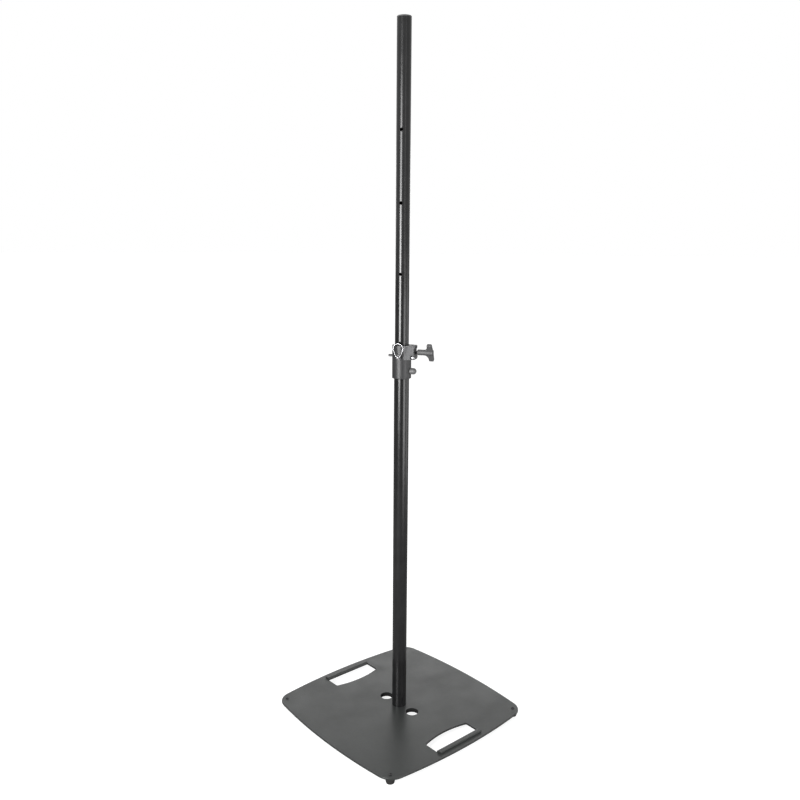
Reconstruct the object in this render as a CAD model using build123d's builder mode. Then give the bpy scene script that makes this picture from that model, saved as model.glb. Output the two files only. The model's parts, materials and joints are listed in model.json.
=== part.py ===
"""Telescopic steel stand for a PA speaker: square base plate, two tubes and a clamp collar.

Millimetres, +Z up.  The origin is on the floor, under the axis of the tubes.
The carrying grips lie on the +X and -X sides of the base plate.
"""
import os
from math import acos, atan2, cos, degrees, radians, sin

from build123d import *

clear = 2  # how far a cut runs on past the material it goes through

# Base plate
foot_height = 15
plate_thickness = 5
plate_bottom = foot_height
plate_top = plate_bottom + plate_thickness
plate_half_side = 236  # half the square through the corners, before they are rounded
plate_bow = 18  # how far the middle of each side stands out from that square
corner_radius = 44
plate_edge_round = 1.2

# Carrying grips: a slot in the plate, with its tab folded flat over the slot's outer edge
slot_half_length = 73
slot_inner = 184
slot_arch = 11
slot_corner_radius = 4
grip_axis = 229.5
grip_reach = 10
grip_end_gap = 1
grip_edge_round = 2

# Hand holes beside the pole, each with a ring welded under the plate
hole_offset = 52.5
hole_radius = 16
hole_edge_round = 2
hole_ring_radius = 22
hole_ring_height = 6.5
hole_ring_chamfer = 0.8

# Feet
foot_offset = 218
foot_top_radius = 13.5
foot_bottom_radius = 10
foot_pocket_radius = 6
foot_pocket_depth = 7
foot_edge_round = 1.5
foot_screw_radius = 2.5
foot_screw_end = 1.5
foot_head_radius = 4
foot_head_height = 2.5
foot_head_round = 1.6
head_slot_length = 4
head_slot_width = 1
head_slot_depth = 1.2
foot_washer_radius = 5.5
foot_washer_thickness = 1
foot_nut_thickness = 4
foot_nut_flats = 8

# Tubes
lower_tube_radius = 19
lower_tube_bore = 17.8
lower_tube_top = 960
upper_tube_radius = 17.5
upper_tube_wall = 1.5
upper_tube_bottom = 775
upper_tube_top = 1775
index_hole_radius = 4.1
index_hole_heights = [1519.5, 1349.5, 1179.5, 1009.5]
insertion_mark_depth = 90  # a fine groove shows how far the speaker's socket goes on
insertion_mark_width = 1
insertion_mark_cut = 0.25

# Foot of the pole
plug_height = 30
center_bolt_radius = 6
center_bolt_flats = 18
center_head_height = 7.5
center_washer_radius = 15
center_washer_thickness = 2
center_bolt_grip = 24  # how far the bolt stands up into the plug
center_bolt_chamfer = 1

# Clamp collar
collar_radius = 24
collar_bottom = 920
collar_top = 1004
collar_edge_round = 1.5
bush_bore = 17.55  # running fit on the upper tube
bush_top = 1003
clamp_angle = 32  # direction of the clamp screw, from +X towards +Y
plunger_angle = clamp_angle - 90

# Clamp boss, screw and shoe
boss_bottom = 969
boss_end = 37
boss_end_width = 27
boss_end_thickness = 4  # the part of the boss behind its end face that is square to the screw
boss_edge_round = 1.5
clamp_height = 987
shoe_radius = 6.5
shoe_bore = 6.6
shoe_back = 22.5
shoe_bore_end = 24.5
nut_slot_inner = 26.5
nut_slot_outer = 33
nut_slot_width = 13.4
nut_slot_floor = 980.3
nut_side = 13
nut_thickness = 6
clamp_screw_radius = 4
clamp_thread_bore = 4.08
clamp_notch_width = 9
end_channel_depth = 2.2
end_channel_bottom = 982
end_channel_top = 996
clamp_tip_radius = 3
clamp_tip_length = 1.5
shoe_blank_start = 14  # the shoe is a plug whose nose is then cut to the tube's curve

# Wing knob
hub_radius = 7.25
hub_start = 41.5
hub_end = 81
hub_edge_round = 0.8
wing_root = 56
wing_root_half_height = 6.25
wing_start = 68
wing_neck = 66  # where the wing's inner edge crosses half of its reach
wing_end = 81.8
wing_sweep = 1.5
wing_half_span = 26
wing_thickness = 9
wing_tip_round = 2.6
wing_edge_round = 2.2
wing_angle = 34  # turn of the wings from upright
knob_screw_depth = 16

# Index plunger
plunger_height = 975.5
barrel_radius = 6
barrel_end = 30
barrel_wall_start = 28.6
barrel_bore = 4.7
pin_nose_radius = 3.9
pin_nose_bore = 4
pin_flange_radius = 4.6
pin_flange_start = 23.2
pin_flange_end = 24.4
pin_stem_radius = 2.5
pin_stem_bore = 2.6
pin_tip = 17.55
spring_wire = 0.4
spring_radius = 3.9
spring_turns = 4
ring_axis = 33.5
plunger_head_radius = 4.25
plunger_head_seat = 1  # how far the pin's stem goes into the ball
ring_wire = 0.9
ring_hole = 0.98
ring_hole_height = 978  # above the middle of the ball, so that the ring stands clear of it

# Pull ring
ring_rise = 20.1
ring_radius = 12.4
ring_neck = 6
ring_corner = 1.9

# Screws through the collar and the boss
fixing_height = 938.5
fixing_screw_radius = 3
fixing_tip = 17.9
fixing_cap_radius = 8
fixing_screw_end = 31
fixing_cap_end = 38.5
fixing_cap_round = 7.4
guide_height = 976.5
guide_screw_radius = 3
guide_screw_end = 34.6
guide_socket_flats = 3
guide_socket_depth = 3
guide_screw_chamfer = 0.6
cross_bolt_position = 32.6
cross_bolt_height = 974.3
cross_bolt_radius = 2.5
cross_head_radius = 5.5
cross_pocket_radius = 6.1
cross_head_seat = 12.5
cross_head_height = 5.5
cross_head_round = 4.7
cross_bolt_tail = 1  # thread that shows past the nut
cross_nut_flats = 8
cross_nut_thickness = 4

# Upper tube fittings
cap_wall = 1.6
cap_plug_depth = 18
cap_top_thickness = 3
cap_edge_round = 1.5
guide_ring_radius = 17.75
guide_ring_lip = 6
guide_ring_depth = 22
guide_ring_bore = 12


def radial_plane(angle, height, radius=0):
    """A plane square to a radius: its normal points outwards and its Y axis points up."""
    outward = Vector(cos(radians(angle)), sin(radians(angle)), 0)
    sideways = (-sin(radians(angle)), cos(radians(angle)), 0)
    origin = outward * radius + Vector(0, 0, height)
    return Plane(origin=origin, x_dir=sideways, z_dir=outward)


def plan_plane(angle, height):
    """A level plane whose X axis points along the angle."""
    return Plane(origin=(0, 0, height), x_dir=(cos(radians(angle)), sin(radians(angle)), 0), z_dir=(0, 0, 1))


def upright_plane(angle):
    """The upright plane through the pole's axis: X points along the angle and Y points up."""
    outward = (cos(radians(angle)), sin(radians(angle)), 0)
    return Plane(origin=(0, 0, 0), x_dir=outward, z_dir=(sin(radians(angle)), -cos(radians(angle)), 0))


def radial_axis(angle):
    """The level line from the pole's axis along the angle."""
    return Axis((0, 0, 0), (cos(radians(angle)), sin(radians(angle)), 0))


def corner_locations(height):
    """The four feet's places, at a height."""
    return [(x, y, height) for x in (-foot_offset, foot_offset) for y in (-foot_offset, foot_offset)]


os.makedirs("parts", exist_ok=True)
finished = []


def finish(part, label):
    """Label a piece and keep it for writing."""
    part.label = label
    finished.append(part)


# ---------------------------------------------------------------- base plate
with BuildPart() as base_plate:
    with BuildSketch(Plane.XY.offset(plate_bottom)):
        with BuildLine():
            for turn in (0, 90, 180, 270):
                start = Vector(-plate_half_side, plate_half_side).rotate(Axis.Z, turn)
                middle = Vector(0, plate_half_side + plate_bow).rotate(Axis.Z, turn)
                end = Vector(plate_half_side, plate_half_side).rotate(Axis.Z, turn)
                ThreePointArc(start, middle, end)
        make_face()
        fillet(vertices(), corner_radius)
    extrude(amount=plate_thickness)
    fillet(edges().group_by(Axis.Z)[-1] + edges().group_by(Axis.Z)[0], plate_edge_round)
    for turn in (0, 180):
        with BuildSketch(plan_plane(turn, plate_bottom)):
            with BuildLine():
                Polyline(
                    (slot_inner, slot_half_length),
                    (grip_axis, slot_half_length),
                    (grip_axis, -slot_half_length),
                    (slot_inner, -slot_half_length),
                )
                ThreePointArc(
                    (slot_inner, -slot_half_length), (slot_inner - slot_arch, 0), (slot_inner, slot_half_length)
                )
            make_face()
            fillet(vertices(), slot_corner_radius)
        extrude(amount=plate_thickness, mode=Mode.SUBTRACT)
        with BuildSketch(upright_plane(turn)):
            with Locations((grip_axis, plate_top)):
                Circle(plate_thickness)
            with Locations((grip_axis + grip_reach / 2, plate_top + plate_thickness / 2)):
                Rectangle(grip_reach, plate_thickness)
            fillet(vertices().sort_by(Axis.X)[-2:].sort_by(Axis.Y)[-1], grip_edge_round)
        extrude(amount=slot_half_length - grip_end_gap, both=True)
    with Locations((hole_offset, 0, plate_top), (-hole_offset, 0, plate_top)):
        Hole(hole_radius)
    with Locations((0, 0, plate_top)):
        Hole(center_bolt_radius)
    with Locations(*corner_locations(plate_top)):
        Hole(foot_screw_radius)
    hole_rims = edges().filter_by(GeomType.CIRCLE).filter_by(lambda e: abs(e.radius - hole_radius) < 0.01)
    fillet(hole_rims.group_by(Axis.Z)[-1], hole_edge_round)
finish(base_plate.part, "base_plate")

with BuildPart() as hole_rings:
    with BuildSketch(Plane.XY.offset(plate_bottom - hole_ring_height)):
        with Locations((hole_offset, 0), (-hole_offset, 0)):
            Circle(hole_ring_radius)
            Circle(hole_radius, mode=Mode.SUBTRACT)
    extrude(amount=hole_ring_height)
    chamfer(edges().group_by(Axis.Z)[0], hole_ring_chamfer)
finish(hole_rings.part, "hole_rings")

# ---------------------------------------------------------------- feet
with BuildPart() as rubber_feet:
    with Locations(*corner_locations(foot_height / 2)):
        Cone(foot_bottom_radius, foot_top_radius, foot_height)
    fillet(edges().group_by(Axis.Z)[0], foot_edge_round)
    with Locations(*corner_locations(0)):
        Cylinder(foot_pocket_radius, foot_pocket_depth, align=(Align.CENTER, Align.CENTER, Align.MIN),
                 mode=Mode.SUBTRACT)
        Cylinder(foot_screw_radius, foot_height, align=(Align.CENTER, Align.CENTER, Align.MIN), mode=Mode.SUBTRACT)
finish(rubber_feet.part, "rubber_feet")

with BuildPart() as foot_screws:
    with Locations(*corner_locations(plate_top)):
        Cylinder(foot_head_radius, foot_head_height, align=(Align.CENTER, Align.CENTER, Align.MIN))
    fillet(edges().group_by(Axis.Z)[-1], foot_head_round)
    with Locations(*corner_locations(plate_top + foot_head_height)):
        Box(head_slot_length, head_slot_width, 2 * head_slot_depth, mode=Mode.SUBTRACT)
        Box(head_slot_width, head_slot_length, 2 * head_slot_depth, mode=Mode.SUBTRACT)
    with Locations(*corner_locations(foot_screw_end)):
        Cylinder(foot_screw_radius, plate_top - foot_screw_end, align=(Align.CENTER, Align.CENTER, Align.MIN))
finish(foot_screws.part, "foot_screws")

with BuildPart() as foot_washers:
    with BuildSketch(Plane.XY.offset(foot_pocket_depth - foot_washer_thickness)):
        with Locations(*corner_locations(0)):
            Circle(foot_washer_radius)
            Circle(foot_screw_radius, mode=Mode.SUBTRACT)
    extrude(amount=foot_washer_thickness)
finish(foot_washers.part, "foot_washers")

with BuildPart() as foot_nuts:
    with BuildSketch(Plane.XY.offset(foot_pocket_depth - foot_washer_thickness - foot_nut_thickness)):
        with Locations(*corner_locations(0)):
            RegularPolygon(foot_nut_flats / 2, 6, major_radius=False)
            Circle(foot_screw_radius, mode=Mode.SUBTRACT)
    extrude(amount=foot_nut_thickness)
finish(foot_nuts.part, "foot_nuts")

# ---------------------------------------------------------------- foot of the pole
with BuildPart() as tube_foot_plug:
    with BuildSketch(Plane.XY.offset(plate_top)):
        Circle(lower_tube_bore)
        Circle(center_bolt_radius, mode=Mode.SUBTRACT)
    extrude(amount=plug_height)
finish(tube_foot_plug.part, "tube_foot_plug")

with BuildPart() as center_washer:
    with BuildSketch(Plane.XY.offset(plate_bottom - center_washer_thickness)):
        Circle(center_washer_radius)
        Circle(center_bolt_radius, mode=Mode.SUBTRACT)
    extrude(amount=center_washer_thickness)
finish(center_washer.part, "center_washer")

with BuildPart() as center_bolt:
    with BuildSketch(Plane.XY.offset(plate_bottom - center_washer_thickness)):
        RegularPolygon(center_bolt_flats / 2, 6, major_radius=False)
    extrude(amount=-center_head_height)
    with BuildSketch(Plane.XY.offset(plate_bottom - center_washer_thickness)):
        Circle(center_bolt_radius)
    extrude(amount=center_washer_thickness + plate_thickness + center_bolt_grip)
    chamfer(edges().group_by(Axis.Z)[-1], center_bolt_chamfer)
finish(center_bolt.part, "center_bolt")

# ---------------------------------------------------------------- lower tube
with BuildPart() as lower_tube:
    with BuildSketch(Plane.XY.offset(plate_top)):
        Circle(lower_tube_radius)
        Circle(lower_tube_bore, mode=Mode.SUBTRACT)
    extrude(amount=lower_tube_top - plate_top)
    with BuildSketch(radial_plane(clamp_angle, fixing_height)):
        Circle(fixing_screw_radius)
    extrude(amount=lower_tube_radius + clear, mode=Mode.SUBTRACT)
finish(lower_tube.part, "lower_tube")

# ---------------------------------------------------------------- clamp collar
with BuildPart() as clamp_collar:
    with BuildSketch(Plane.XY.offset(collar_bottom)):
        Circle(collar_radius)
    extrude(amount=collar_top - collar_bottom)
    fillet(edges().group_by(Axis.Z)[0], collar_edge_round)
    with BuildSketch(plan_plane(clamp_angle, boss_bottom)):
        Circle(collar_radius)
        with Locations((boss_end - boss_end_thickness / 2, 0)):
            Rectangle(boss_end_thickness, boss_end_width)
        make_hull()
    extrude(amount=collar_top - boss_bottom)
    end_face = faces().sort_by(radial_axis(clamp_angle))[-1]
    fillet(end_face.edges(), boss_edge_round)
    with BuildSketch(Plane.XY.offset(collar_bottom)):
        Circle(lower_tube_radius)
    extrude(amount=collar_top - collar_bottom, mode=Mode.SUBTRACT)
    # shoe bore, then the screw's way to the nut
    with BuildSketch(radial_plane(clamp_angle, clamp_height)):
        Circle(shoe_bore)
    extrude(amount=shoe_bore_end, mode=Mode.SUBTRACT)
    with BuildSketch(radial_plane(clamp_angle, clamp_height)):
        Circle(clamp_notch_width / 2)
    extrude(amount=boss_end + clear, mode=Mode.SUBTRACT)
    # nut slot and the notch in the end wall, both open at the top
    with BuildSketch(plan_plane(clamp_angle, nut_slot_floor)):
        with Locations(((nut_slot_inner + nut_slot_outer) / 2, 0)):
            Rectangle(nut_slot_outer - nut_slot_inner, nut_slot_width)
    extrude(amount=collar_top, mode=Mode.SUBTRACT)
    with BuildSketch(plan_plane(clamp_angle, clamp_height)):
        with Locations(((nut_slot_outer + boss_end + clear) / 2, 0)):
            Rectangle(boss_end + clear - nut_slot_outer, clamp_notch_width)
    extrude(amount=collar_top, mode=Mode.SUBTRACT)
    # level channel across the end face
    with BuildSketch(upright_plane(clamp_angle)):
        with Locations((boss_end - end_channel_depth / 2 + clear / 2, (end_channel_bottom + end_channel_top) / 2)):
            Rectangle(end_channel_depth + clear, end_channel_top - end_channel_bottom)
    extrude(amount=boss_end_width, both=True, mode=Mode.SUBTRACT)
    # radial holes: plunger, guide screw and fixing screw
    with BuildSketch(radial_plane(plunger_angle, plunger_height)):
        Circle(barrel_radius)
    extrude(amount=collar_radius + clear, mode=Mode.SUBTRACT)
    with BuildSketch(radial_plane(clamp_angle + 180, guide_height)):
        Circle(guide_screw_radius)
    extrude(amount=collar_radius + clear, mode=Mode.SUBTRACT)
    with BuildSketch(radial_plane(clamp_angle, fixing_height)):
        Circle(fixing_screw_radius)
    extrude(amount=collar_radius + clear, mode=Mode.SUBTRACT)
    # cross bolt through the lower part of the boss
    cross_plane = Plane(
        origin=plan_plane(clamp_angle, cross_bolt_height).from_local_coords((cross_bolt_position, 0, 0)),
        x_dir=(0, 0, 1),
        z_dir=radial_plane(plunger_angle, 0).z_dir,
    )
    with BuildSketch(cross_plane):
        Circle(cross_bolt_radius)
    extrude(amount=boss_end_width, both=True, mode=Mode.SUBTRACT)
    with BuildSketch(cross_plane.offset(cross_head_seat)):
        Circle(cross_pocket_radius)
    extrude(amount=boss_end_width, mode=Mode.SUBTRACT)
    with BuildSketch(cross_plane.offset(-cross_head_seat)):
        Circle(cross_pocket_radius)
    extrude(amount=-boss_end_width, mode=Mode.SUBTRACT)
finish(clamp_collar.part, "clamp_collar")

with BuildPart() as collar_bush:
    with BuildSketch(Plane.XY.offset(lower_tube_top)):
        Circle(lower_tube_radius)
        Circle(bush_bore, mode=Mode.SUBTRACT)
    extrude(amount=bush_top - lower_tube_top)
    with BuildSketch(radial_plane(clamp_angle, clamp_height)):
        Circle(shoe_bore)
    extrude(amount=lower_tube_radius + clear, mode=Mode.SUBTRACT)
    with BuildSketch(radial_plane(plunger_angle, plunger_height)):
        Circle(pin_nose_bore)
    extrude(amount=lower_tube_radius + clear, mode=Mode.SUBTRACT)
finish(collar_bush.part, "collar_bush")

# ---------------------------------------------------------------- screws in the collar
with BuildPart() as collar_fixing_screw:
    with BuildSketch(radial_plane(clamp_angle, fixing_height, fixing_tip)):
        Circle(fixing_screw_radius)
    extrude(amount=fixing_screw_end - fixing_tip)
finish(collar_fixing_screw.part, "collar_fixing_screw")

with BuildPart() as fixing_screw_cap:
    with BuildSketch(radial_plane(clamp_angle, fixing_height, lower_tube_radius)):
        Circle(fixing_cap_radius)
    extrude(amount=fixing_cap_end - lower_tube_radius)
    fillet(edges().group_by(radial_axis(clamp_angle))[-1], fixing_cap_round)
    with BuildSketch(Plane.XY.offset(collar_bottom)):
        Circle(collar_radius)
    extrude(amount=collar_top - collar_bottom, mode=Mode.SUBTRACT)
    with BuildSketch(radial_plane(clamp_angle, fixing_height)):
        Circle(fixing_screw_radius)
    extrude(amount=fixing_screw_end, mode=Mode.SUBTRACT)
finish(fixing_screw_cap.part, "fixing_screw_cap")

with BuildPart() as guide_screw:
    with BuildSketch(radial_plane(clamp_angle + 180, guide_height, lower_tube_radius)):
        Circle(guide_screw_radius)
    extrude(amount=guide_screw_end - lower_tube_radius)
    chamfer(edges().group_by(radial_axis(clamp_angle + 180))[-1], guide_screw_chamfer)
    with BuildSketch(radial_plane(clamp_angle + 180, guide_height, guide_screw_end)):
        RegularPolygon(guide_socket_flats / 2, 6, major_radius=False)
    extrude(amount=-guide_socket_depth, mode=Mode.SUBTRACT)
finish(guide_screw.part, "guide_screw")

with BuildPart() as cross_bolt:
    with BuildSketch(cross_plane.offset(-cross_head_seat - cross_nut_thickness - cross_bolt_tail)):
        Circle(cross_bolt_radius)
    extrude(amount=2 * cross_head_seat + cross_nut_thickness + cross_bolt_tail)
    with BuildSketch(cross_plane.offset(cross_head_seat)):
        Circle(cross_head_radius)
    extrude(amount=cross_head_height)
    fillet(edges().group_by(radial_axis(plunger_angle))[-1], cross_head_round)
finish(cross_bolt.part, "cross_bolt")

with BuildPart() as cross_bolt_nut:
    with BuildSketch(cross_plane.offset(-cross_head_seat)):
        RegularPolygon(cross_nut_flats / 2, 6, major_radius=False)
        Circle(cross_bolt_radius, mode=Mode.SUBTRACT)
    extrude(amount=-cross_nut_thickness)
finish(cross_bolt_nut.part, "cross_bolt_nut")

# ---------------------------------------------------------------- clamp screw, nut, shoe and wing knob
with BuildPart() as captive_nut:
    with BuildSketch(radial_plane(clamp_angle, clamp_height, nut_slot_outer - nut_thickness)):
        Rectangle(nut_side, nut_side)
        Circle(clamp_thread_bore, mode=Mode.SUBTRACT)
    extrude(amount=nut_thickness)
finish(captive_nut.part, "captive_nut")

with BuildPart() as brake_shoe:
    with BuildSketch(radial_plane(clamp_angle, clamp_height, shoe_blank_start)):
        Circle(shoe_radius)
    extrude(amount=shoe_back - shoe_blank_start)
    with BuildSketch(Plane.XY.offset(collar_bottom)):
        Circle(bush_bore)
    extrude(amount=collar_top - collar_bottom, mode=Mode.SUBTRACT)
finish(brake_shoe.part, "brake_shoe")

with BuildPart() as clamp_screw:
    with BuildSketch(radial_plane(clamp_angle, clamp_height, shoe_back)):
        Circle(clamp_tip_radius)
    extrude(amount=clamp_tip_length)
    with BuildSketch(radial_plane(clamp_angle, clamp_height, shoe_back + clamp_tip_length)):
        Circle(clamp_screw_radius)
    extrude(amount=hub_start + knob_screw_depth - shoe_back - clamp_tip_length)
finish(clamp_screw.part, "clamp_screw")

# The wings lie in the plane that holds the screw's axis and the direction they point in.
knob_base = radial_plane(clamp_angle, clamp_height)
wing_up = knob_base.y_dir.rotate(Axis((0, 0, 0), knob_base.z_dir), wing_angle)
wing_plane = Plane(origin=knob_base.origin, x_dir=knob_base.z_dir, z_dir=knob_base.z_dir.cross(wing_up))

with BuildPart() as wing_knob:
    with BuildSketch(wing_plane):
        with BuildLine():
            for side in (1, -1):
                Line((wing_end, 0), (wing_end - wing_sweep, side * wing_half_span))
                Line((wing_end - wing_sweep, side * wing_half_span), (wing_start, side * wing_half_span))
                Spline(
                    (wing_start, side * wing_half_span),
                    (wing_neck, side * wing_half_span / 2),
                    (wing_root, side * wing_root_half_height),
                    tangents=((0, -side), (-1, 0)),
                )
            Line((wing_root, wing_root_half_height), (wing_root, -wing_root_half_height))
        make_face()
        tips = vertices().group_by(Axis.Y)[0] + vertices().group_by(Axis.Y)[-1]
        fillet(tips, wing_tip_round)
    extrude(amount=wing_thickness / 2, both=True)
    fillet(edges(), wing_edge_round)
    with BuildSketch(radial_plane(clamp_angle, clamp_height, hub_start)):
        Circle(hub_radius)
    extrude(amount=hub_end - hub_start)
    fillet(edges().group_by(radial_axis(clamp_angle))[0], hub_edge_round)
    with BuildSketch(radial_plane(clamp_angle, clamp_height, hub_start)):
        Circle(clamp_screw_radius)
    extrude(amount=knob_screw_depth, mode=Mode.SUBTRACT)
finish(wing_knob.part, "wing_knob")

# ---------------------------------------------------------------- index plunger
with BuildPart() as plunger_barrel:
    with BuildSketch(radial_plane(plunger_angle, plunger_height, lower_tube_radius)):
        Circle(barrel_radius)
        Circle(barrel_bore, mode=Mode.SUBTRACT)
    extrude(amount=barrel_wall_start - lower_tube_radius)
    with BuildSketch(radial_plane(plunger_angle, plunger_height, barrel_wall_start)):
        Circle(barrel_radius)
        Circle(pin_stem_bore, mode=Mode.SUBTRACT)
    extrude(amount=barrel_end - barrel_wall_start)
finish(plunger_barrel.part, "plunger_barrel")

with BuildPart() as plunger_pin:
    with BuildSketch(radial_plane(plunger_angle, plunger_height, pin_tip)):
        Circle(pin_nose_radius)
    extrude(amount=pin_flange_start - pin_tip)
    with BuildSketch(radial_plane(plunger_angle, plunger_height, pin_flange_start)):
        Circle(pin_flange_radius)
    extrude(amount=pin_flange_end - pin_flange_start)
    with BuildSketch(radial_plane(plunger_angle, plunger_height, pin_flange_end)):
        Circle(pin_stem_radius)
    extrude(amount=ring_axis - plunger_head_radius + plunger_head_seat - pin_flange_end)
finish(plunger_pin.part, "plunger_pin")

with BuildPart() as plunger_spring:
    spring_length = barrel_wall_start - pin_flange_end - 2 * spring_wire
    spring_base = radial_plane(plunger_angle, plunger_height, pin_flange_end + spring_wire)
    with BuildLine():
        coil = Helix(
            pitch=spring_length / spring_turns,
            height=spring_length,
            radius=spring_radius,
            center=spring_base.origin,
            direction=spring_base.z_dir,
        )
    with BuildSketch(Plane(origin=coil @ 0, z_dir=coil % 0)):
        Circle(spring_wire)
    sweep(is_frenet=True)
finish(plunger_spring.part, "plunger_spring")

ring_plane = radial_plane(plunger_angle, ring_hole_height, ring_axis)

with BuildPart() as plunger_head:
    with Locations(radial_plane(plunger_angle, plunger_height, ring_axis)):
        Sphere(plunger_head_radius)
    with BuildSketch(radial_plane(plunger_angle, plunger_height, ring_axis - plunger_head_radius)):
        Circle(pin_stem_radius)
    extrude(amount=plunger_head_seat, mode=Mode.SUBTRACT)
    with BuildSketch(Plane(origin=ring_plane.origin, z_dir=ring_plane.x_dir)):
        Circle(ring_hole)
    extrude(amount=plunger_head_radius + clear, both=True, mode=Mode.SUBTRACT)
finish(plunger_head.part, "plunger_head")

# The ring's wire: a straight run through the head, two rounded corners, and two arms
# that meet the round loop where they are tangent to it.
corner_to_loop = Vector(ring_corner - ring_neck, ring_rise - ring_corner)
touch_angle = degrees(
    atan2(corner_to_loop.Y, corner_to_loop.X) - acos((ring_corner - ring_radius) / corner_to_loop.length)
)

with BuildPart() as pull_ring:
    with BuildLine(ring_plane):
        right_corner = CenterArc((ring_neck - ring_corner, ring_corner), ring_corner, -90, touch_angle + 90)
        loop = CenterArc((0, ring_rise), ring_radius, touch_angle, 180 - 2 * touch_angle)
        left_corner = CenterArc(
            (ring_corner - ring_neck, ring_corner), ring_corner, 180 - touch_angle, touch_angle + 90
        )
        Line((0, 0), (ring_neck - ring_corner, 0))
        Line(right_corner @ 1, loop @ 0)
        Line(loop @ 1, left_corner @ 0)
        Line((ring_corner - ring_neck, 0), (0, 0))
    with BuildSketch(Plane(origin=ring_plane.origin, z_dir=ring_plane.x_dir)):
        Circle(ring_wire)
    sweep()
finish(pull_ring.part, "pull_ring")

# ---------------------------------------------------------------- upper tube
with BuildPart() as upper_tube:
    with BuildSketch(Plane.XY.offset(upper_tube_bottom)):
        Circle(upper_tube_radius)
        Circle(upper_tube_radius - upper_tube_wall, mode=Mode.SUBTRACT)
    extrude(amount=upper_tube_top - upper_tube_bottom - cap_top_thickness)
    for height in index_hole_heights:
        with BuildSketch(radial_plane(plunger_angle, height)):
            Circle(index_hole_radius)
        extrude(amount=upper_tube_radius + clear, mode=Mode.SUBTRACT)
    with BuildSketch(Plane.XY.offset(upper_tube_top - insertion_mark_depth)):
        Circle(upper_tube_radius)
        Circle(upper_tube_radius - insertion_mark_cut, mode=Mode.SUBTRACT)
    extrude(amount=insertion_mark_width, mode=Mode.SUBTRACT)
finish(upper_tube.part, "upper_tube")

with BuildPart() as tube_top_cap:
    with BuildSketch(Plane.XY.offset(upper_tube_top - cap_top_thickness)):
        Circle(upper_tube_radius)
    extrude(amount=cap_top_thickness)
    fillet(edges().group_by(Axis.Z)[-1], cap_edge_round)
    with BuildSketch(Plane.XY.offset(upper_tube_top - cap_top_thickness)):
        Circle(upper_tube_radius - upper_tube_wall)
        Circle(upper_tube_radius - upper_tube_wall - cap_wall, mode=Mode.SUBTRACT)
    extrude(amount=-cap_plug_depth)
finish(tube_top_cap.part, "tube_top_cap")

with BuildPart() as tube_guide_ring:
    with BuildSketch(Plane.XY.offset(upper_tube_bottom)):
        Circle(guide_ring_radius)
        Circle(guide_ring_bore, mode=Mode.SUBTRACT)
    extrude(amount=-guide_ring_lip)
    with BuildSketch(Plane.XY.offset(upper_tube_bottom)):
        Circle(upper_tube_radius - upper_tube_wall)
        Circle(guide_ring_bore, mode=Mode.SUBTRACT)
    extrude(amount=guide_ring_depth)
finish(tube_guide_ring.part, "tube_guide_ring")

for part in finished:
    export_step(part, f"parts/{part.label}.step")
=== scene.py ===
"""Looks for the telescopic speaker stand: finishes, small detail pieces, studio light and camera.

Metres, +Z up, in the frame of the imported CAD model.
"""
import json
import math

import bmesh
import bpy
from mathutils import Matrix, Vector


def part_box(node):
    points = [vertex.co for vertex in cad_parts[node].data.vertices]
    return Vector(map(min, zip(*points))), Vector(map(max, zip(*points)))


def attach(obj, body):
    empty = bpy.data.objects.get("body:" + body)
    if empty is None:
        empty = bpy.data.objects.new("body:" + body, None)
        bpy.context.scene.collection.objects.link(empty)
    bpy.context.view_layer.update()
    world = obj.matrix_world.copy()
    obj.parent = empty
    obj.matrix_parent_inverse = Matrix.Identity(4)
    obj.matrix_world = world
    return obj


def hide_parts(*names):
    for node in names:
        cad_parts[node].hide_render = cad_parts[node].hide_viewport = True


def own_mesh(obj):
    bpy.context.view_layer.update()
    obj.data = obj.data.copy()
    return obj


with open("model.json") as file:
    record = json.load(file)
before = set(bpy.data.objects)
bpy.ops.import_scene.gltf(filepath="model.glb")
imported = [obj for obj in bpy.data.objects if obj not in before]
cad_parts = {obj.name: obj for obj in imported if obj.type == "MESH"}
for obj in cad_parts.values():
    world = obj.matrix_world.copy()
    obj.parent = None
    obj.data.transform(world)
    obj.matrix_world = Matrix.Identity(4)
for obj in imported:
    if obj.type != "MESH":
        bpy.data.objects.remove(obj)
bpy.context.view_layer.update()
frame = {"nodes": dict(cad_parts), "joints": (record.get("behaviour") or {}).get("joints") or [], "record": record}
UP = Vector((0, 0, 1))

# ---------------------------------------------------------------- camera
CAMERA_AZIMUTH = 48.6  # degrees round the pole, from behind -Y
CAMERA_DISTANCE = 2.058  # level distance from the pole's axis
CAMERA_HEIGHT = 1.2546
CAMERA_DOWN = 10.77
CAMERA_PAN = 0.10
CAMERA_ROLL = 0.43
SENSOR_WIDTH = 36.0
FOCAL_LENGTH = 37.125


def add_camera():
    """The camera at the photograph's place round the stand."""
    data = bpy.data.cameras.new("camera")
    data.sensor_width = SENSOR_WIDTH
    data.lens = FOCAL_LENGTH
    data.clip_end = 200
    camera = bpy.data.objects.new("camera", data)
    bpy.context.scene.collection.objects.link(camera)
    azimuth = math.radians(CAMERA_AZIMUTH)
    place = Vector((math.sin(azimuth) * CAMERA_DISTANCE, -math.cos(azimuth) * CAMERA_DISTANCE, CAMERA_HEIGHT))
    turn = Matrix.Rotation(azimuth + math.radians(CAMERA_PAN), 4, "Z")
    tilt = Matrix.Rotation(math.radians(90 - CAMERA_DOWN), 4, "X")
    roll = Matrix.Rotation(math.radians(CAMERA_ROLL), 4, "Z")
    camera.matrix_world = Matrix.Translation(place) @ turn @ tilt @ roll
    bpy.context.scene.camera = camera


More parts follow.
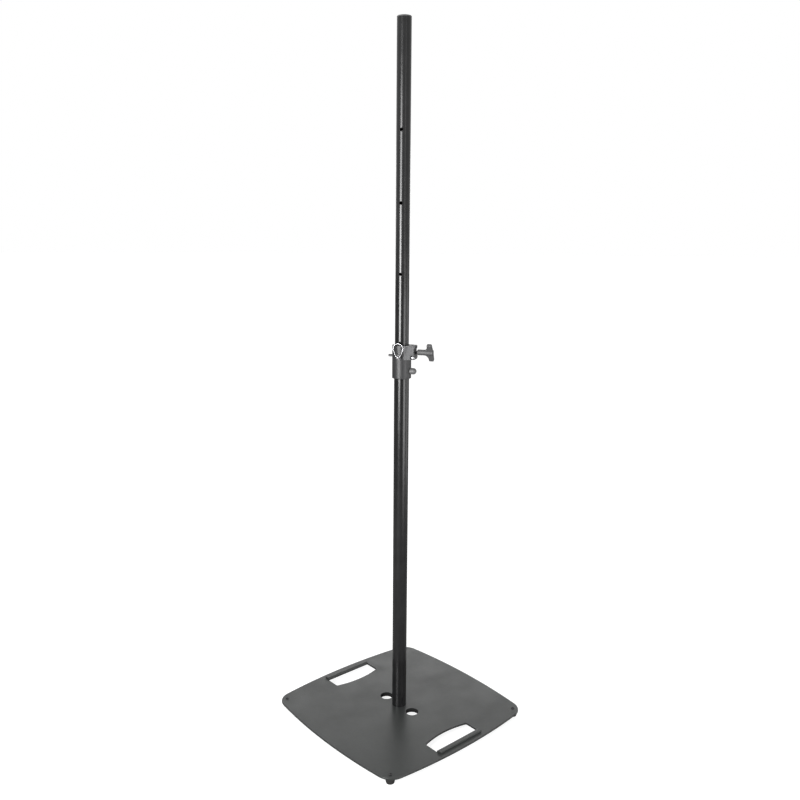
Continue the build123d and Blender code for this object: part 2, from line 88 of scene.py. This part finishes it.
# ---------------------------------------------------------------- light and floor
# The room's grey, by how far up a direction points: 0 is level and 1 is straight up.
ROOM_BRIGHT_UP_TO = 0.42
ROOM_BRIGHT = (0.82, 0.82, 0.82, 1)
ROOM_DARK_FROM = 0.62
ROOM_DARK = (0.07, 0.07, 0.07, 1)
BACKDROP_WHITE = (1, 1, 1, 1)
FLOOR_RADIUS = 90
FLOOR_SEGMENTS = 96
FLOOR_GREY = (0.30, 0.30, 0.30, 1)
FLOOR_GLOW = 0.87
FLOOR_ROUGHNESS = 0.9
FLOOR_SPECULAR = 0.1


def link_light(name, data, place, target):
    """Put a light at a place, facing a target."""
    lamp = bpy.data.objects.new(name, data)
    bpy.context.scene.collection.objects.link(lamp)
    lamp.location = place
    lamp.rotation_euler = (Vector(target) - Vector(place)).to_track_quat("-Z", "Y").to_euler()
    lamp.visible_camera = False


def around(azimuth, distance, height):
    """A place given by its direction round the pole, as seen from the camera's side."""
    angle = math.radians(CAMERA_AZIMUTH + azimuth)
    return Vector((math.sin(angle) * distance, -math.cos(angle) * distance, height))


def softbox(name, azimuth, distance, height, width, tall, power):
    """A level rectangular softbox facing the pole."""
    data = bpy.data.lights.new(name, "AREA")
    data.shape = "RECTANGLE"
    data.size = width
    data.size_y = tall
    data.energy = power
    link_light(name, data, around(azimuth, distance, height), (0, 0, height))


def add_lights():
    """Studio light: a tall softbox to the left as the key, weaker ones round the other sides, an overhead."""
    overhead = bpy.data.lights.new("overhead", "SUN")
    overhead.energy = 1.2
    overhead.angle = math.radians(50)
    link_light("overhead", overhead, around(180, 1.2, 4), (0, 0, 0))
    softbox("key_left", -35, 2.2, 1.2, 0.9, 1.6, 66)
    softbox("key_left_core", -34, 2.2, 1.05, 0.8, 0.7, 24)
    softbox("box_right", 44, 2.4, 0.5, 1.3, 1.0, 26)
    softbox("box_side", 92, 2.2, 0.55, 1.8, 1.1, 12)
    softbox("box_right_high", 30, 2.4, 1.7, 0.4, 1.2, 2.5)
    softbox("box_back", 180, 3.0, 1.4, 2.4, 0.8, 12)


def add_world():
    """A white backdrop; the room that lights the stand is a dimmer grey, darker overhead."""
    world = bpy.data.worlds.new("studio")
    bpy.context.scene.world = world
    world.use_nodes = True
    nodes = world.node_tree.nodes
    links = world.node_tree.links
    nodes.clear()
    place = nodes.new("ShaderNodeTexCoord")
    split = nodes.new("ShaderNodeSeparateXYZ")
    ramp = nodes.new("ShaderNodeValToRGB")
    ramp.color_ramp.elements[0].position = ROOM_BRIGHT_UP_TO
    ramp.color_ramp.elements[0].color = ROOM_BRIGHT
    ramp.color_ramp.elements[1].position = ROOM_DARK_FROM
    ramp.color_ramp.elements[1].color = ROOM_DARK
    room = nodes.new("ShaderNodeBackground")
    backdrop = nodes.new("ShaderNodeBackground")
    backdrop.inputs["Color"].default_value = BACKDROP_WHITE
    seen = nodes.new("ShaderNodeLightPath")
    mix = nodes.new("ShaderNodeMixShader")
    out = nodes.new("ShaderNodeOutputWorld")
    links.new(place.outputs["Generated"], split.inputs[0])
    links.new(split.outputs["Z"], ramp.inputs[0])
    links.new(ramp.outputs["Color"], room.inputs["Color"])
    links.new(seen.outputs["Is Camera Ray"], mix.inputs[0])
    links.new(room.outputs[0], mix.inputs[1])
    links.new(backdrop.outputs[0], mix.inputs[2])
    links.new(mix.outputs[0], out.inputs["Surface"])


def add_floor():
    """A plain white floor, far wider than the view, evenly lit so that only a faint shadow shows."""
    mesh = bmesh.new()
    bmesh.ops.create_circle(mesh, cap_ends=True, radius=FLOOR_RADIUS, segments=FLOOR_SEGMENTS)
    data = bpy.data.meshes.new("floor")
    mesh.to_mesh(data)
    mesh.free()
    floor = bpy.data.objects.new("floor", data)
    bpy.context.scene.collection.objects.link(floor)
    material = bpy.data.materials.new("floor_white")
    material.use_nodes = True
    nodes = material.node_tree.nodes
    links = material.node_tree.links
    shader = nodes["Principled BSDF"]
    shader.inputs["Base Color"].default_value = FLOOR_GREY
    shader.inputs["Emission Color"].default_value = BACKDROP_WHITE
    shader.inputs["Roughness"].default_value = FLOOR_ROUGHNESS
    shader.inputs["Specular IOR Level"].default_value = FLOOR_SPECULAR
    glow = nodes.new("ShaderNodeMath")
    glow.operation = "MULTIPLY"
    glow.inputs[1].default_value = FLOOR_GLOW
    seen = nodes.new("ShaderNodeLightPath")
    links.new(seen.outputs["Is Camera Ray"], glow.inputs[0])
    links.new(glow.outputs[0], shader.inputs["Emission Strength"])
    data.materials.append(material)


# ---------------------------------------------------------------- finishes
HAND_HOLE = (0.0525, 0)
HOLE_SHADE_EDGE = 0.0174  # where the painted shade inside the hand holes gives way to the plate's coat at its full tone
HOLE_SHADE_FADE = 0.0008
CAST_AND_LIGHT_EDGE = 0.0246  # beyond the sleeve's surface the collar is a lighter grey: a grainier cast finish, and painted light for the boss's lit faces
CAST_AND_LIGHT_FADE = 0.0004
NOISE_LOW = 0.3  # nearly all of the noise lies between these
NOISE_HIGH = 0.7


class Finish:
    """A procedural material in the making: one Principled shader and what feeds it."""

    def __init__(self, name, metallic=0.0, specular=0.5):
        self.material = bpy.data.materials.new(name)
        self.material.use_nodes = True
        self.nodes = self.material.node_tree.nodes
        self.links = self.material.node_tree.links
        self.shader = self.nodes["Principled BSDF"]
        self.shader.inputs["Metallic"].default_value = metallic
        self.shader.inputs["Specular IOR Level"].default_value = specular
        self.place = self.nodes.new("ShaderNodeTexCoord").outputs["Object"]
        self.normal = None

    def noise(self, scale, detail=2.0, stretch=(1, 1, 1)):
        """Noise with features about 1 / scale metres across, drawn out along an axis by stretch."""
        mapping = self.nodes.new("ShaderNodeMapping")
        mapping.inputs["Scale"].default_value = stretch
        texture = self.nodes.new("ShaderNodeTexNoise")
        texture.inputs["Scale"].default_value = scale
        texture.inputs["Detail"].default_value = detail
        self.links.new(self.place, mapping.inputs["Vector"])
        self.links.new(mapping.outputs["Vector"], texture.inputs["Vector"])
        return texture.outputs["Fac"]

    def spread(self, value, low, high):
        """A noise value spread between two numbers."""
        ranged = self.nodes.new("ShaderNodeMapRange")
        ranged.inputs["From Min"].default_value = NOISE_LOW
        ranged.inputs["From Max"].default_value = NOISE_HIGH
        ranged.inputs["To Min"].default_value = low
        ranged.inputs["To Max"].default_value = high
        self.links.new(value, ranged.inputs["Value"])
        return ranged.outputs["Result"]

    def times(self, first, second):
        """The product of two values."""
        product = self.nodes.new("ShaderNodeMath")
        product.operation = "MULTIPLY"
        self.links.new(first, product.inputs[0])
        self.links.new(second, product.inputs[1])
        return product.outputs[0]

    def round_mask(self, center, radius, fade):
        """1 beyond an upright cylinder about (+-x, y), fading to 0 inside it."""
        mirrored = self.nodes.new("ShaderNodeVectorMath")
        mirrored.operation = "ABSOLUTE"
        level = self.nodes.new("ShaderNodeVectorMath")
        level.operation = "MULTIPLY"
        level.inputs[1].default_value = (1, 1, 0)
        offset = self.nodes.new("ShaderNodeVectorMath")
        offset.operation = "SUBTRACT"
        offset.inputs[1].default_value = (center[0], center[1], 0)
        length = self.nodes.new("ShaderNodeVectorMath")
        length.operation = "LENGTH"
        edge = self.nodes.new("ShaderNodeMapRange")
        edge.inputs["From Min"].default_value = radius - fade
        edge.inputs["From Max"].default_value = radius
        self.links.new(self.place, mirrored.inputs[0])
        self.links.new(mirrored.outputs[0], level.inputs[0])
        self.links.new(level.outputs[0], offset.inputs[0])
        self.links.new(offset.outputs[0], length.inputs[0])
        self.links.new(length.outputs["Value"], edge.inputs["Value"])
        return edge.outputs["Result"]

    def color(self, noise, dark, light):
        """Base colour between two tones, by a noise value."""
        self.mix_color(self.spread(noise, 0, 1), dark, light)

    def mix_color(self, value, dark, light):
        """Base colour between two tones, by a value from 0 to 1."""
        mix = self.nodes.new("ShaderNodeMix")
        mix.data_type = "RGBA"
        mix.inputs["A"].default_value = (*dark, 1)
        mix.inputs["B"].default_value = (*light, 1)
        self.links.new(value, mix.inputs["Factor"])
        self.links.new(mix.outputs["Result"], self.shader.inputs["Base Color"])

    def between(self, value, low, high, socket):
        """Feed a shader socket with a value from 0 to 1, mapped between two numbers."""
        ranged = self.nodes.new("ShaderNodeMapRange")
        ranged.inputs["To Min"].default_value = low
        ranged.inputs["To Max"].default_value = high
        self.links.new(value, ranged.inputs["Value"])
        self.links.new(ranged.outputs["Result"], self.shader.inputs[socket])

    def roughness(self, value, low, high):
        """Roughness between two values."""
        self.links.new(self.spread(value, low, high), self.shader.inputs["Roughness"])

    def bump(self, value, depth):
        """Raise the surface by a noise value, to a depth in metres. Several bumps add up."""
        bump = self.nodes.new("ShaderNodeBump")
        bump.inputs["Distance"].default_value = depth
        self.links.new(value, bump.inputs["Height"])
        if self.normal is not None:
            self.links.new(self.normal, bump.inputs["Normal"])
        self.normal = bump.outputs["Normal"]
        self.links.new(self.normal, self.shader.inputs["Normal"])


def plate_paint():
    """Satin dark grey powder coat with a fine grain, painted near black inside the hand holes as painted shade for
    their shaded walls.
    """
    finish = Finish("plate_paint", specular=0.46)
    # Painted shade: inside the hand holes the colour goes near black, standing in for the shade on the holes'
    # walls.
    clear_of_hole_shade = finish.round_mask(HAND_HOLE, HOLE_SHADE_EDGE, HOLE_SHADE_FADE)
    tone = finish.times(finish.spread(finish.noise(14, 4), 0.8, 1), clear_of_hole_shade)
    finish.mix_color(tone, (0.001, 0.001, 0.001), (0.025, 0.027, 0.026))
    finish.between(tone, 0.95, 0.30, "Roughness")
    finish.bump(finish.noise(420, 2), 0.00016)
    finish.bump(finish.noise(1600, 2), 0.00004)
    return finish.material


def tube_paint():
    """Semi-gloss black powder coat with a slight orange peel."""
    finish = Finish("tube_paint", specular=0.4)
    finish.color(finish.noise(30, 3), (0.005, 0.005, 0.0052), (0.009, 0.009, 0.0093))
    finish.roughness(finish.noise(80, 3), 0.20, 0.25)
    finish.bump(finish.noise(260, 1), 0.000015)
    return finish.material


def collar_paint():
    """Semi-gloss black on the turned sleeve, a lighter and grainier grey on the boss: the boss's grey is partly
    its cast finish and partly painted light for its lit faces.
    """
    finish = Finish("collar_paint")
    # Painted light: the boss beyond the sleeve is a lighter grey, partly its cast finish and partly standing in
    # for the light on its faces.
    cast_and_painted_light = finish.round_mask((0, 0), CAST_AND_LIGHT_EDGE, CAST_AND_LIGHT_FADE)
    tone = finish.times(finish.spread(finish.noise(650, 3), 0.5, 1), cast_and_painted_light)
    finish.mix_color(tone, (0.014, 0.014, 0.015), (0.100, 0.100, 0.103))
    finish.between(cast_and_painted_light, 0.45, 0.50, "Roughness")
    finish.bump(finish.times(finish.noise(900, 3), cast_and_painted_light), 0.00060)
    finish.bump(finish.noise(300, 1), 0.00003)
    return finish.material


def knob_plastic():
    """Satin black moulding with a fine spark-eroded grain."""
    finish = Finish("knob_plastic", specular=0.5)
    finish.color(finish.noise(900, 3), (0.046, 0.046, 0.047), (0.064, 0.064, 0.065))
    finish.roughness(finish.noise(400, 2), 0.45, 0.60)
    finish.bump(finish.noise(1200, 2), 0.00025)
    return finish.material


def cap_plastic():
    """Matt dark grey moulding."""
    finish = Finish("cap_plastic", specular=0.45)
    finish.color(finish.noise(200, 3), (0.070, 0.070, 0.071), (0.095, 0.095, 0.096))
    finish.roughness(finish.noise(400, 2), 0.42, 0.55)
    finish.bump(finish.noise(1500, 2), 0.00006)
    return finish.material


def nylon():
    """Black bearing plastic, polished by sliding along the pole."""
    finish = Finish("nylon", specular=0.45)
    finish.color(finish.noise(150, 2), (0.012, 0.012, 0.012), (0.022, 0.022, 0.022))
    finish.roughness(finish.noise(60, 3, (8, 8, 1)), 0.30, 0.48)
    finish.bump(finish.noise(120, 2, (8, 8, 1)), 0.00003)
    return finish.material


def rubber():
    """Matt black rubber, dusty in its grain."""
    finish = Finish("rubber", specular=0.35)
    finish.color(finish.noise(350, 4), (0.010, 0.010, 0.010), (0.026, 0.025, 0.024))
    finish.roughness(finish.noise(250, 3), 0.65, 0.85)
    finish.bump(finish.noise(900, 3), 0.00012)
    return finish.material


def black_steel():
    """Steel with black oxide and a trace of oil."""
    finish = Finish("black_steel", metallic=0.9)
    finish.color(finish.noise(120, 4), (0.030, 0.030, 0.034), (0.060, 0.058, 0.058))
    finish.roughness(finish.noise(300, 3), 0.30, 0.46)
    finish.bump(finish.noise(900, 2), 0.00005)
    return finish.material


def zinc_steel():
    """Bright zinc plate, a little cloudy."""
    finish = Finish("zinc_steel", metallic=1.0)
    finish.color(finish.noise(160, 4), (0.50, 0.51, 0.53), (0.66, 0.66, 0.66))
    finish.roughness(finish.noise(260, 3), 0.24, 0.38)
    finish.bump(finish.noise(1100, 2), 0.00004)
    return finish.material


def spring_steel():
    """Drawn wire with lengthwise marks."""
    finish = Finish("spring_steel", metallic=1.0)
    finish.color(finish.noise(500, 3), (0.36, 0.36, 0.37), (0.52, 0.51, 0.50))
    finish.roughness(finish.noise(700, 2), 0.22, 0.36)
    finish.bump(finish.noise(2200, 2), 0.00003)
    return finish.material


def chrome():
    """Polished nickel and chrome plate."""
    finish = Finish("chrome", metallic=1.0)
    finish.color(finish.noise(90, 2), (0.34, 0.34, 0.35), (0.44, 0.44, 0.45))
    finish.roughness(finish.noise(350, 3), 0.18, 0.26)
    finish.bump(finish.noise(260, 1), 0.00001)
    return finish.material


def brass():
    """Turned brass, rubbed where it meets the pole."""
    finish = Finish("brass", metallic=1.0)
    finish.color(finish.noise(200, 3), (0.60, 0.42, 0.17), (0.74, 0.56, 0.27))
    finish.roughness(finish.noise(400, 2), 0.28, 0.42)
    finish.bump(finish.noise(1500, 2), 0.00004)
    return finish.material


FINISHES = {
    "plate_paint": plate_paint(),
    "tube_paint": tube_paint(),
    "collar_paint": collar_paint(),
    "knob_plastic": knob_plastic(),
    "cap_plastic": cap_plastic(),
    "nylon": nylon(),
    "rubber": rubber(),
    "black_steel": black_steel(),
    "zinc_steel": zinc_steel(),
    "spring_steel": spring_steel(),
    "chrome": chrome(),
    "brass": brass(),
}


def finish_cad_nodes():
    """Give every CAD node the finish of its material slot in the record."""
    for row in frame["record"]["subparts"]:
        node = frame["nodes"][row["node"]]
        node.data.materials.clear()
        node.data.materials.append(FINISHES[row["material_slot"]])


# ---------------------------------------------------------------- detail pieces
SCREW_START = 0.0226  # distances from the pole's axis along the clamp screw
SCREW_TIP_END = 0.024
SCREW_END = 0.0572
SCREW_TIP_RADIUS = 0.003
SCREW_RADIUS = 0.004
THREAD_PITCH = 0.00125
THREAD_DEPTH = 0.0007
STEPS_A_TURN = 10
SCREW_SEGMENTS = 40
COIL_START = 0.0244  # distances from the pole's axis along the plunger
COIL_END = 0.0286
COIL_WIRE = 0.0004
COIL_RADIUS = 0.0039
COIL_TURNS = 4
COIL_STEPS = 112
COIL_SIDES = 8
BEAD_RADIUS = 0.0016
BEAD_SEGMENTS = 144
BEAD_SIDES = 10
BEAD_RIPPLES = 36
BEAD_RIPPLE = 0.00022


def joint_named(name):
    """A joint's row of the record."""
    return next(joint for joint in frame["joints"] if joint["name"] == name)


def add_piece(name, mesh, material_slot, body):
    """Make a piece of a finished mesh, with the finish and body that it belongs to."""
    bmesh.ops.recalc_face_normals(mesh, faces=mesh.faces)
    for face in mesh.faces:
        face.smooth = True
    data = bpy.data.meshes.new(name)
    mesh.to_mesh(data)
    mesh.free()
    data.materials.append(FINISHES[material_slot])
    piece = bpy.data.objects.new(name, data)
    bpy.context.scene.collection.objects.link(piece)
    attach(piece, body)
    return piece


def skin_rings(mesh, rings, closed):
    """Join rings of vertices, each to the next, and cap the two ends or join them."""
    pairs = list(zip(rings, rings[1:]))
    if closed:
        pairs.append((rings[-1], rings[0]))
    else:
        mesh.faces.new(rings[0])
        mesh.faces.new(rings[-1])
    for first, second in pairs:
        for here in range(len(first)):
            after = (here + 1) % len(first)
            mesh.faces.new((first[here], first[after], second[after], second[here]))


def screw_radius_at(reach, turn):
    """The clamp screw's radius at a distance along it and a part of a turn round it."""
    if reach < SCREW_TIP_END:
        return SCREW_TIP_RADIUS
    phase = (reach / THREAD_PITCH - turn) % 1
    return SCREW_RADIUS - THREAD_DEPTH * abs(2 * phase - 1)


def clamp_screw_thread():
    """The clamp screw, with its thread."""
    joint = joint_named("knob_turn")
    outward = Vector(joint["axis"]).normalized()
    height = UP * joint["pos_m"][2]
    sideways = outward.cross(UP)
    mesh = bmesh.new()
    rings = []
    count = round((SCREW_END - SCREW_START) / THREAD_PITCH * STEPS_A_TURN)
    for step in range(count + 1):
        reach = SCREW_START + (SCREW_END - SCREW_START) * step / count
        ring = []
        for segment in range(SCREW_SEGMENTS):
            turn = segment / SCREW_SEGMENTS
            radius = screw_radius_at(reach, turn)
            across = sideways * math.cos(math.tau * turn) + UP * math.sin(math.tau * turn)
            ring.append(mesh.verts.new(height + outward * reach + across * radius))
        rings.append(ring)
    skin_rings(mesh, rings, closed=False)
    piece = add_piece("clamp_screw_thread", mesh, "black_steel", "clamp_knob")
    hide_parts("clamp_screw")


def plunger_coil():
    """The plunger's spring, which rides on the plunger's body."""
    joint = joint_named("plunger_pull")
    outward = Vector(joint["axis"]).normalized()
    sideways = outward.cross(UP)
    low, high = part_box("plunger_pin")
    height = UP * (low.z + high.z) / 2
    mesh = bmesh.new()
    rings = []
    for step in range(COIL_STEPS + 1):
        share = step / COIL_STEPS
        angle = math.tau * COIL_TURNS * share
        across = sideways * math.cos(angle) + UP * math.sin(angle)
        reach = COIL_START + COIL_WIRE + (COIL_END - COIL_START - 2 * COIL_WIRE) * share
        center = height + outward * reach + across * COIL_RADIUS
        ring = []
        for side in range(COIL_SIDES):
            swing = math.tau * side / COIL_SIDES
            wire = across * math.cos(swing) + outward * math.sin(swing)
            ring.append(mesh.verts.new(center + wire * COIL_WIRE))
        rings.append(ring)
    skin_rings(mesh, rings, closed=False)
    piece = add_piece("plunger_coil", mesh, "spring_steel", "plunger")
    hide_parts("plunger_spring")
    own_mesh(piece)


def weld_bead(name, center, radius, height):
    """A rippled fillet weld round an upright cylinder, in the corner under a level face."""
    mesh = bmesh.new()
    rings = []
    for segment in range(BEAD_SEGMENTS):
        angle = math.tau * segment / BEAD_SEGMENTS
        outward = Vector((math.cos(angle), math.sin(angle), 0))
        size = BEAD_RADIUS + BEAD_RIPPLE * math.sin(BEAD_RIPPLES * angle)
        ring = []
        for side in range(BEAD_SIDES):
            swing = math.tau * side / BEAD_SIDES
            bead = outward * math.cos(swing) + UP * math.sin(swing)
            ring.append(mesh.verts.new(center + UP * height + outward * radius + bead * size))
        rings.append(ring)
    skin_rings(mesh, rings, closed=True)
    add_piece(name, mesh, "plate_paint", "stand")


def add_weld_beads():
    """The welds that hold the hand holes' rings under the plate."""
    low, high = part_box("hole_rings")
    radius = (high.y - low.y) / 2
    weld_bead("weld_bead_right", Vector((high.x - radius, 0, 0)), radius, high.z)
    weld_bead("weld_bead_left", Vector((low.x + radius, 0, 0)), radius, high.z)


finish_cad_nodes()
clamp_screw_thread()
plunger_coil()
add_weld_beads()
add_world()
add_lights()
add_floor()
add_camera()
bpy.context.scene.view_settings.view_transform = "Standard"
